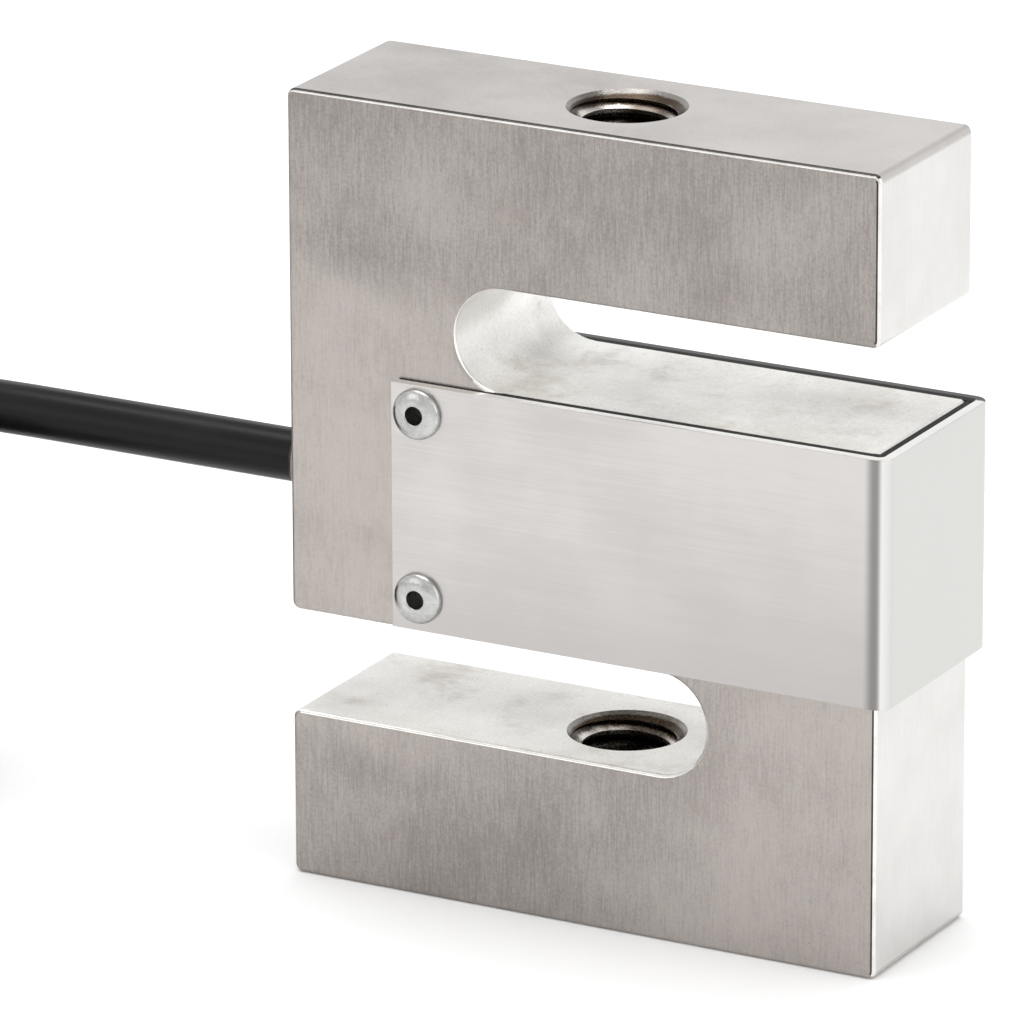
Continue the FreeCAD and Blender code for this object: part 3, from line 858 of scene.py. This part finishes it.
@dataclass
class Block:
    """The S-shaped steel block.

    Args:
        finish: The object's materials.
        slot_height: Height of both slots, with fully round ends.
        arm_height: Height of the upper and the lower arm.
        column: From an end face to the end of the slot opposite.
        corner: Radius of the S outline's corners.
        edge: Radius of the front and rear faces' edges.
        minor: Bore radius of the M10 internal thread.
        major: Radius at the thread's roots.
        mouth: Radius of the countersinks.
        pitch: The thread's pitch.
        pocket: Width, height and corner radius of the gauge pockets.
        web: Thickness of the steel left between them.
        rivet_bore: Radius of the rivets' holes.
        sleeve_bore: Radius of the cable sleeve's seat.
        cable_bore: Radius of the cable's passage.
        cable_height: Height of the cable's axis.
    """

    finish: Finishes
    slot_height: float = 0.00975
    arm_height: float = 0.016
    column: float = 0.0172
    corner: float = 0.0008
    edge: float = 0.00045
    minor: float = 0.004188
    major: float = 0.00505
    mouth: float = 0.00555
    pitch: float = 0.0015
    pocket: tuple[float, float, float] = (0.024, 0.015, 0.0045)
    web: float = 0.003
    rivet_bore: float = 0.00125
    sleeve_bore: float = 0.0031
    cable_bore: float = 0.0026
    cable_height: float = 0.0372

    def __post_init__(self) -> None:
        """Reads the block's box off the model."""
        self.low, self.high = box("sensing_body")

    def outline(self) -> list[Vector]:
        """The S in X and Z, counter-clockwise from the front's lower left."""
        left, right, top = self.low.x, self.high.x, self.high.z
        arm, slot, small, big = self.arm_height, self.slot_height, self.corner, self.slot_height / 2
        lower_end, upper_end = right - self.column, left + self.column
        return rounded_outline([
            (left, 0.0, small), (right, 0.0, small),
            (right, top - arm - slot, small), (upper_end, top - arm - slot, big),
            (upper_end, top - arm, big), (right, top - arm, small),
            (right, top, small), (left, top, small),
            (left, arm + slot, small), (lower_end, arm + slot, big),
            (lower_end, arm, big), (left, arm, small),
        ])

    def bare(self) -> bpy.types.Object:
        """The S with its face edges rounded."""
        bm = prism(self.outline(), along_y(self.low.y), self.high.y - self.low.y)
        rims = [e for e in bm.edges if abs(e.verts[0].co.y - e.verts[1].co.y) < TOUCH]
        bmesh.ops.bevel(bm, geom=rims, offset=self.edge, segments=4, profile=0.5,
                        affect="EDGES", material=-1)
        made = place("sensing_body_metal", bm,
                     *(self.finish[skin.finish_name()] for skin in Skin))
        for face in made.data.polygons:
            face.material_index = self.surface(face.center, face.normal)
        return made

    def surface(self, centre: Vector, normal: Vector) -> int:
        """Picks a face's finish by the face's place and direction, which paints light and shade: the
        block's finishes are lit and shaded copies of one steel, with painted highlight and painted
        shade on the rounded edges.

        Args:
            centre: The face's centre.
            normal: Its normal.

        Returns:
            Its place in the block's material slots.
        """
        across = abs(normal.y)
        at_top = centre.z > self.high.z - self.corner
        if across > FLAT:
            return Skin.FACE
        if across > 1 - FLAT:
            # Top edge rounding: painted highlight on its part near the face, painted shade on its
            # part near the top.
            if at_top and normal.z > abs(normal.x):
                return (Skin.FACE if across > NEAR_FACE
                        else Skin.EDGE_DARK if across < HALF_WAY else Skin.EDGE_BRIGHT)
            # Right end's edge rounding: painted shade near the face, painted highlight on its
            # middle.
            if centre.x > self.high.x - self.corner and normal.x > abs(normal.z):
                return (Skin.EDGE_DARK if across > NEAR_FACE
                        else Skin.END if across < FAR_FROM_FACE else Skin.EDGE_BRIGHT)
            inside = centre.x > self.low.x + self.corner
            in_slot = inside and normal.x < 0.3 and normal.z > -0.2
            # Slot edges: painted highlight on the rounding.
            if in_slot and HALF_WAY < across < NEAR_FACE:
                return Skin.EDGE_BRIGHT
            if across > HALF_WAY:
                return Skin.FACE
        if at_top or centre.z < self.corner:
            return Skin.TOP
        at_end = min(centre.x - self.low.x, self.high.x - centre.x) < self.corner
        return Skin.END if at_end and abs(normal.x) > HALF_WAY else Skin.SLOT

    def tap(self, low: float, high: float) -> bpy.types.Object:
        """A tap's threaded core, to cut a right-hand thread.

        Args:
            low: Height where the thread starts.
            high: Height where it ends.

        Returns:
            The cutter.
        """
        steps = 64
        rows = steps * math.ceil((high - low) / self.pitch) + 1
        crest, flank = self.pitch / 8, self.pitch * 0.3125
        profile = ((self.major, 0.0), (self.major, crest), (self.minor, crest + flank),
                   (self.minor, self.pitch - flank))
        bm = bmesh.new()
        grid = []
        for row in range(rows):
            turn = math.tau * row / steps
            rise = low + self.pitch * row / steps
            grid.append([bm.verts.new((r * math.cos(turn), r * math.sin(turn), rise + h))
                         for r, h in profile])
        for row in range(rows - 1):
            here, following = grid[row], grid[row + 1]
            for k in range(3):
                bm.faces.new((here[k], following[k], following[k + 1], here[k + 1]))
            if row + steps + 1 < rows:
                over, after = grid[row + steps], grid[row + steps + 1]
                bm.faces.new((here[3], following[3], after[0], over[0]))
        rim = [e for e in bm.edges if e.is_boundary]
        bmesh.ops.holes_fill(bm, edges=rim, sides=0)
        bmesh.ops.triangulate(bm, faces=[f for f in bm.faces if len(f.verts) > 4])
        return place("tap", bm, self.finish["thread_steel"])

    def countersink(self, mouth: float, inward: int) -> bpy.types.Object:
        """The cone at one mouth of a tapped hole.

        Args:
            mouth: The mouth's height.
            inward: 1 where the hole goes up from it, and -1 where it goes down.

        Returns:
            The cutter.
        """
        past, overlap = 0.001, 0.0002
        depth = self.mouth - self.minor + overlap
        wide, narrow = self.mouth + past, self.mouth - depth
        cone = cylinder(wide, Vector((0, 0, mouth - inward * past)),
                        Vector((0, 0, mouth + inward * depth)), 96, narrow)
        return place("countersink", cone, self.finish["thread_steel"])

    def bores(self) -> list[bpy.types.Object]:
        """Cutters for both tapped and countersunk holes."""
        past = 0.0035
        cutters = []
        for low, high in ((0.0, self.arm_height),
                          (self.high.z - self.arm_height, self.high.z)):
            cutters.append(self.tap(low - past, high + past))
            cutters += [self.countersink(low, 1), self.countersink(high, -1)]
        return cutters

    def hidden_cuts(self) -> list[bpy.types.Object]:
        """Cutters for the pockets, the cable's passage and the rivets' holes."""
        dull = self.finish["block_slot"]
        width, height, corner = self.pocket
        middle, past, beyond_cover = self.high.z / 2, 0.001, 0.012
        cutters = []
        outline = rounded_outline([
            (sx * width / 2, middle + sz * height / 2, corner)
            for sx, sz in ((-1, -1), (1, -1), (1, 1), (-1, 1))])
        deep = self.high.y + past - self.web / 2
        for y in (self.low.y - past, self.web / 2):
            cutters.append(place("pocket", prism(outline, along_y(y), deep), dull))
        axis = Vector((0, 0, self.cable_height))
        sleeve_end, root_end = box("cable_sleeve")[1].x, box("cable_root")[1].x
        cutters.append(place("sleeve_seat", cylinder(
            self.sleeve_bore, axis + Vector((self.low.x - past, 0, 0)),
            axis + Vector((sleeve_end, 0, 0))), dull))
        cutters.append(place("cable_bore", cylinder(
            self.cable_bore, axis + Vector((self.low.x, 0, 0)),
            axis + Vector((root_end + self.cable_bore, 0, 0))), dull))
        for side in Side:
            for level in Level:
                low, high = box(node_name("mandrel", side, level))
                centre = (low + high) / 2
                inner = high.y if side is Side.FRONT else low.y
                cutters.append(place("rivet_hole", cylinder(
                    self.rivet_bore, Vector((centre.x, side.value * beyond_cover, centre.z)),
                    Vector((centre.x, inner, centre.z))), dull))
        return cutters

    def build(self) -> list[bpy.types.Object]:
        """Makes the block and puts it on the model."""
        made = self.bare()
        carve(made, self.bores())
        carve(made, self.hidden_cuts())
        smooth(made)
        return [stand_for(made, "block_steel", "sensing_body")]


def node_name(kind: str, side: Side, level: Level) -> str:
    """The name of a CAD node that there is one of at each rivet."""
    return f"{kind}_{side.name.lower()}_{level.name.lower()}"


# ------------------------------------------------------------------ the cover
@dataclass
class Cover:
    """The folded sheet over the gauge section and its four blind rivets.

    Args:
        finish: The object's materials.
        sheet: The sheet's thickness.
        inner_bend: Radius inside its two bends.
        edge: Rounding of its cut edges.
        sharp: Radius that stands for a sharp corner of its outline.
        hole: Radius of the rivet holes.
        head: Radius of a rivet's head.
        shank: Radius of its shank.
        bore: Radius of its bore.
        head_height: Height of its head over the sheet.
    """

    finish: Finishes
    sheet: float = 0.001
    inner_bend: float = 0.0005
    edge: float = 0.00012
    sharp: float = 0.000001
    hole: float = 0.00125
    head: float = 0.0024
    shank: float = 0.0012
    bore: float = 0.00085
    head_height: float = 0.0009

    def outline(self) -> list[Vector]:
        """The U in X and Y."""
        low, high = box("side_cover")
        x0, x1, y0, y1 = low.x, high.x, low.y, high.y
        t, tight, wide = self.sheet, self.inner_bend, self.inner_bend + self.sheet
        sharp = self.sharp
        return rounded_outline([
            (x0, y0, sharp), (x1, y0, wide), (x1, y1, wide), (x0, y1, sharp),
            (x0, y1 - t, sharp), (x1 - t, y1 - t, tight), (x1 - t, y0 + t, tight),
            (x0, y0 + t, sharp),
        ], step=11.25)

    def sheet_metal(self) -> bpy.types.Object:
        """The folded sheet with its rivet holes."""
        low, high = box("side_cover")
        bm = prism(self.outline(), along_z(low.z), high.z - low.z)
        bmesh.ops.remove_doubles(bm, verts=bm.verts, dist=4 * self.sharp)
        cut = [e for e in bm.edges if self.is_cut_edge(e, low.x)]
        beyond = 0.0015
        bmesh.ops.bevel(bm, geom=cut, offset=self.edge, segments=2, profile=0.5,
                        affect="EDGES", material=-1)
        made = place("side_cover_sheet", bm, self.finish["cover_steel"],
                     self.finish["sheet_rim"])
        # The horizontal cut edges take the rim finish, with its painted highlight and painted shade.
        for face in made.data.polygons:
            face.material_index = int(abs(face.normal.z) > 0.5)
        holes = []
        for level in Level:
            a, b = box(node_name("rivet", Side.FRONT, level))
            centre = (a + b) / 2
            holes.append(place("hole", cylinder(
                self.hole, Vector((centre.x, low.y - beyond, centre.z)),
                Vector((centre.x, high.y + beyond, centre.z))), self.finish["cover_steel"]))
        carve(made, holes)
        smooth(made)
        return stand_for(made, "cover_steel", "side_cover")

    def is_cut_edge(self, edge: bmesh.types.BMEdge, free_x: float) -> bool:
        """Picks the sheet's cut edges: its top, its bottom and the wings' ends.

        Args:
            edge: An edge of the sheet.
            free_x: Where along X the wings end.

        Returns:
            True for a cut edge.
        """
        a, b = (v.co for v in edge.verts)
        return abs(a.z - b.z) < TOUCH or max(a.x, b.x) < free_x + 10 * self.sharp

    def rivet(self, side: Side, level: Level) -> bpy.types.Object:
        """One blind rivet: a domed head with its open bore, and the shank.

        Args:
            side: Whether it holds the front or the rear wing.
            level: Whether it is the upper or the lower one.

        Returns:
            The rivet.
        """
        name = node_name("rivet", side, level)
        low, high = box(name)
        seat = (low + high) / 2
        outward = Vector((0, side.value, 0))
        outer = high.y if side is Side.REAR else -low.y
        seat.y = side.value * (outer - self.head_height)
        length = (high.y - low.y) - self.head_height
        rim, lip, chamfer = 0.00022, 0.00016, 0.0001
        dome = [(self.bore + lip + (self.head - self.bore - lip) * math.sin(a),
                 rim + (self.head_height - rim) * math.cos(a))
                for a in (math.radians(d) for d in range(90, -1, -10))]
        profile = [(self.bore, -length), (self.shank, -length), (self.shank, 0.0),
                   (self.head - chamfer, 0.0), (self.head, chamfer), *dome,
                   (self.bore + lip * 0.3, self.head_height - lip * 0.3),
                   (self.bore, self.head_height - lip)]
        made = place(name + "_metal", spun(profile, seat, outward), self.finish["rivet_aluminium"])
        smooth(made, 50.0)
        return stand_for(made, "rivet_aluminium", name)

    def build(self) -> list[bpy.types.Object]:
        """Makes the cover and its rivets."""
        return [self.sheet_metal()] + [self.rivet(side, level)
                                       for side in Side for level in Level]


@dataclass
class SealantAndGapShadow:
    """Black beads in the gap between the cover and the block: partly sealing compound, partly
    painted shadow that stands in for the shade in that gap.

    Args:
        finish: The object's materials.
        sheet: The cover sheet's thickness.
        wing_drop: From the cover's edge down to the bead along a wing.
        web_drop: From the cover's edge down to the bead along the web.
        depth: Height of the bead.
        lap: How far it covers the block's broken edge along a wing.
        web_lap: How far it covers the block's rounded end along the web.
    """

    finish: Finishes
    sheet: float = 0.001
    wing_drop: float = 0.00002
    web_drop: float = 0.00005
    depth: float = 0.0008
    lap: float = 0.00045
    web_lap: float = 0.00015

    def build(self) -> list[bpy.types.Object]:
        """Makes the bead along both wings and along the web."""
        beads = []
        low, high = box("side_cover")
        start, block = box("gasket_front")[0].x, box("sensing_body")[1]
        web_inner, wing_inner = high.x - self.sheet, high.y - self.sheet
        strips = {
            "rear": (start, web_inner, block.y - self.lap, wing_inner, self.wing_drop),
            "front": (start, web_inner, -wing_inner, -block.y + self.lap, self.wing_drop),
            "web": (block.x - self.web_lap, web_inner, -wing_inner, wing_inner, self.web_drop),
        }
        # Black beads along the gap: sealing compound, and painted shadow where the gap's dark line
        # is shade.
        for name, (x0, x1, y0, y1, drop) in strips.items():
            top = high.z - drop
            bm = bmesh.new()
            size = Vector((x1 - x0, y1 - y0, self.depth))
            centre = Vector(((x0 + x1) / 2, (y0 + y1) / 2, top - self.depth / 2))
            bmesh.ops.create_cube(bm, size=1.0, matrix=Matrix.Translation(centre)
                                  @ Matrix.Diagonal((*size, 1.0)))
            made = place(f"sealant_{name}", bm, self.finish["gasket_rubber"])
            beads.append(stand_for(made, "gasket_rubber"))
        return beads


# ------------------------------------------------------------------ the cable
@dataclass
class Cable:
    """The signal cable: 3 m, straight out of its sleeve and then in a hank.

    Args:
        finish: The object's materials.
        length: Its real length. Not used.
        diameter: Its jacket's diameter.
        layers: Layers of the hank, each of two turns.
        points: Points of the route to each turn.
        tie_lift: How far the turns are squeezed up where the tie lies under them.
        tie_reach: How far along the hank that fades out.
        floor_gap: From the floor to the tail's underside.
    """

    finish: Finishes
    length: float = 3.0
    diameter: float = 0.005
    layers: int = 6
    points: int = 24
    tie_lift: float = 0.0012
    tie_reach: float = 0.02
    floor_gap: float = 0.0003

    def __post_init__(self) -> None:
        """Reads the hank's box and the tail's end off the model."""
        low, high = box("cable_hank")
        self.middle = (low + high) / 2
        self.outer = (high.y - low.y - self.diameter) / 2
        self.near, self.far = high.x - (high.y - low.y) / 2, low.x + (high.y - low.y) / 2
        self.run = self.near - self.far
        self.tail_end = box("cable_tail")[1]

    def lead(self) -> list[Vector]:
        """The route from the sleeve over to the hank's top turn."""
        return [Vector(p) for p in (
            (-0.0340, 0.0, 0.0372),
            (-0.0560, 0.0, 0.0372),
            (-0.0700, 0.0, 0.0372),
            (-0.0920, 0.0040, 0.0345),
            (-0.1120, 0.0080, 0.0302),
        )]

    def place_in_hank(self, index: float) -> tuple[float, float]:
        """Finds one of the hank's places.

        Args:
            index: Its number, counted from the top.

        Returns:
            Its half-width and height.
        """
        layer = self.layers - 1 - int(index) // 2
        inner = int(index) % 4 in (1, 2)
        return (self.outer - (self.diameter if inner else 0.0), self.diameter * (layer + 0.5))

    def hank_point(self, turns: float) -> Vector:
        """A point of the hank.

        Args:
            turns: How many turns lie behind it, from the rear run's near end.

        Returns:
            The point. Each change to the next place comes one twelfth of a turn
            before the last one, so that no two turns are in the same place.
        """
        places = 2 * self.layers
        share = 1.0 - 1.0 / places
        index = min(int(turns / share), places - 1)
        width, height = self.place_in_hank(index)
        reach = 0.04
        change = (turns - ((index + 1) * share - reach)) / (2 * reach)
        if index < places - 1 and change > 0:
            width, height = self.between(index, change, width, height)
        elif index and turns - index * share < reach:
            change = (turns - (index * share - reach)) / (2 * reach)
            width, height = self.between(index - 1, change, *self.place_in_hank(index - 1))
        return self.on_track(turns % 1.0, width, height)

    def between(self, index: int, change: float, width: float, height: float) -> tuple[float, float]:
        """Half-width and height on the way from one place to the next.

        Args:
            index: The place that it leaves.
            change: How far it has gone, from 0 to 1.
            width: Half-width of the place that it leaves.
            height: Height of the place that it leaves.

        Returns:
            Half-width and height there.
        """
        ease = change * change * (3 - 2 * change)
        next_width, next_height = self.place_in_hank(index + 1)
        return width + (next_width - width) * ease, height + (next_height - height) * ease

    def on_track(self, share: float, width: float, height: float) -> Vector:
        """A point of the racetrack.

        Args:
            share: How much of one turn lies behind it.
            width: Its distance from the hank's middle line on a straight run.
            height: Its height before the tie squeezes it up.

        Returns:
            The point.
        """
        fold = math.pi * (self.outer - self.diameter / 2)
        run_share = 0.5 * self.run / (self.run + fold)
        half, back = share % 0.5, share >= 0.5
        if half < run_share:
            x = self.near - self.run * half / run_share
            y = width
        else:
            angle = math.pi * (half - run_share) / (0.5 - run_share)
            widened = width / math.cos(math.pi / (self.points * (0.5 - run_share)) / 2)
            x = self.far - widened * math.sin(angle)
            y = widened * math.cos(angle)
        if back:
            x, y = self.near + self.far - x, -y
        off = (x - self.middle.x) / self.tie_reach
        return Vector((x, self.middle.y + y, height + self.tie_lift * math.exp(-off * off)))

    def route(self) -> list[Vector]:
        """The whole centreline's control points."""
        run_share = 0.5 * self.run / (self.run + math.pi * (self.outer - self.diameter / 2))
        first, last = run_share * 0.4, 2 * self.layers - 2 + 0.5 + run_share * 0.96
        count = round((last - first) * self.points)
        turns = [self.hank_point(first + (last - first) * k / count) for k in range(count + 1)]
        end = Vector((self.tail_end.x, turns[-1].y, self.diameter / 2 + self.floor_gap))
        return self.lead() + turns + [end.lerp(turns[-1], 0.5), end]

    def build(self) -> list[bpy.types.Object]:
        curve = bpy.data.curves.new("signal_cable", "CURVE")
        curve.dimensions = "3D"
        curve.bevel_depth = self.diameter / 2
        curve.bevel_resolution = 5
        curve.resolution_u = 4
        curve.use_fill_caps = True
        spline = curve.splines.new("NURBS")
        route = self.route()
        spline.points.add(len(route) - 1)
        for point, at in zip(spline.points, route):
            point.co = (*at, 1.0)
        spline.order_u = 3
        spline.use_endpoint_u = True
        curve.materials.append(self.finish["cable_jacket"])
        made = link("signal_cable", curve)
        stand_for(made, "cable_jacket", "cable_lead", "cable_hank", "cable_tail")
        return [made]


# ------------------------------------------------------------------ CAD nodes
def dress_nodes(nodes: dict[str, bpy.types.Object],
                finish: Finishes) -> list[bpy.types.Object]:
    """Gives the nodes that keep their CAD mesh their materials.

    Args:
        nodes: The model's nodes by name.
        finish: The object's materials.

    Returns:
        The nodes that got one.
    """
    by_name = {
        "gasket": "gasket_rubber", "mandrel": "mandrel_steel", "gauge_wires": "fine_wire",
        "gauge": "gauge_foil", "potting": "potting", "terminal_board": "board_laminate",
        "balance_resistor": "resistor_body", "span_resistor": "resistor_body",
        "cable_sleeve": "sleeve_metal", "cable_root": "cable_jacket", "hank_tie": "tie_nylon",
        "shrink_tube": "shrink",
    }
    for colour in ("red", "green", "white", "black"):
        by_name[f"core_{colour}"] = by_name[f"lead_{colour}"] = f"core_{colour}"
    dressed = []
    for name, node in nodes.items():
        match = next((m for prefix, m in by_name.items() if name.startswith(prefix)), None)
        if match is None:
            continue
        node.data.materials.clear()
        node.data.materials.append(finish[match])
        dressed.append(node)
    return dressed


# ------------------------------------------------------------------ the studio
@dataclass
class Studio:
    """Camera, lights and the floor.

    Args:
        position: The camera's place.
        yaw: How far it stands to the right of the front, in degrees.
        pitch: How far it looks down, in degrees.
        roll: Its tilt, in degrees.
        lens: Focal length on a 36 mm wide sensor, in millimetres.
        horizon: Brightness of the room around the horizon.
        ceiling: Brightness of the room around its ceiling.
        dim_from: Height, as the sine of its angle, where the room begins to dim.
        dim_to: Height where it is dimmest.
        rear_dim: How much sooner it dims at the rear than at the sides.
    """

    position: tuple[float, float, float] = (0.40281, -0.76283, 0.32669)
    yaw: float = 28.55
    pitch: float = 18.54
    roll: float = -0.212
    lens: float = 354.0
    horizon: float = 0.98
    ceiling: float = 0.35
    dim_from: float = 0.62
    dim_to: float = 0.95
    rear_dim: float = 0.5

    def camera(self) -> None:
        """Places the camera."""
        data = bpy.data.cameras.new("camera")
        data.lens = self.lens
        data.sensor_width = 36.0
        data.clip_start, data.clip_end = 0.05, 20.0
        made = link("camera", data)
        turn = (Matrix.Rotation(math.radians(self.yaw), 4, "Z")
                @ Matrix.Rotation(math.radians(90.0 - self.pitch), 4, "X")
                @ Matrix.Rotation(math.radians(self.roll), 4, "Z"))
        made.matrix_world = Matrix.Translation(self.position) @ turn
        bpy.context.scene.camera = made

    def light(self, name: str, place_at: tuple[float, float, float],
              target: tuple[float, float, float], size: tuple[float, float],
              power: float) -> None:
        """One soft rectangular light.

        Args:
            name: Its name.
            place_at: Where it hangs.
            target: What it points at.
            size: Its width and height.
            power: Its power in watts.
        """
        data = bpy.data.lights.new(name, "AREA")
        data.shape = "RECTANGLE"
        data.size, data.size_y = size
        data.energy = power
        made = link(name, data)
        aim = (Vector(target) - Vector(place_at)).to_track_quat("-Z", "Y")
        made.matrix_world = Matrix.Translation(place_at) @ aim.to_matrix().to_4x4()

    def world(self) -> None:
        """A white room, dimmer between the horizon and the light overhead."""
        made = bpy.data.worlds.new("studio")
        made.use_nodes = True
        tree = Tree(made.node_tree)
        _, y, z = tree.parts(tree.node("ShaderNodeTexCoord").outputs["Generated"])
        height = z * (y * self.rear_dim + 1.0)
        strength = tree.span(height, self.dim_from, self.dim_to, self.horizon, self.ceiling)
        sky = tree.node("ShaderNodeBackground", {"Color": (1.0, 1.0, 1.0, 1.0),
                                                 "Strength": strength})
        tree.node("ShaderNodeOutputWorld", {"Surface": sky.outputs[0]})
        bpy.context.scene.world = made

    def floor(self) -> None:
        """A plain pale floor under the object."""
        bm = bmesh.new()
        bmesh.ops.create_grid(bm, x_segments=1, y_segments=1, size=6.0)
        paint = Paint("floor_white")
        paint.set(Base_Color=(0.9, 0.9, 0.9, 1.0), Roughness=0.9)
        made = place("floor", bm, paint.material)

    def build(self) -> None:
        """Sets up the whole studio."""
        bpy.context.scene.view_settings.view_transform = "Standard"
        self.camera()
        self.world()
        target = (0, 0, 0.04)
        self.light("overhead", (-0.1, 0.1, 1.2), target, (1.1, 1.1), 12.5)
        self.light("right", (1.1, -0.1, 0.5), target, (0.9, 0.9), 2.2)
        self.light("front", (-0.6, -1.0, 0.5), target, (0.6, 0.6), 0.8)
        self.floor()


def corners(box: Iterable[Iterable[float]]) -> list[list[float]]:
    """A box's two corners as plain lists."""
    return [[float(part) for part in corner] for corner in box]


def main() -> None:
    """Builds the whole object and its studio, and reports each piece."""
    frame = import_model()
    Studio().build()
    finish = finishes()
    for maker in (Cable(finish), Block(finish), Cover(finish), SealantAndGapShadow(finish)):
        for made in maker.build():
            log.info("built %s", made.name)
    for node in dress_nodes(frame["nodes"], finish):
        log.info("dressed %s", node.name)


if __name__ == "__main__":
    logging.basicConfig(level=logging.INFO)
    main()
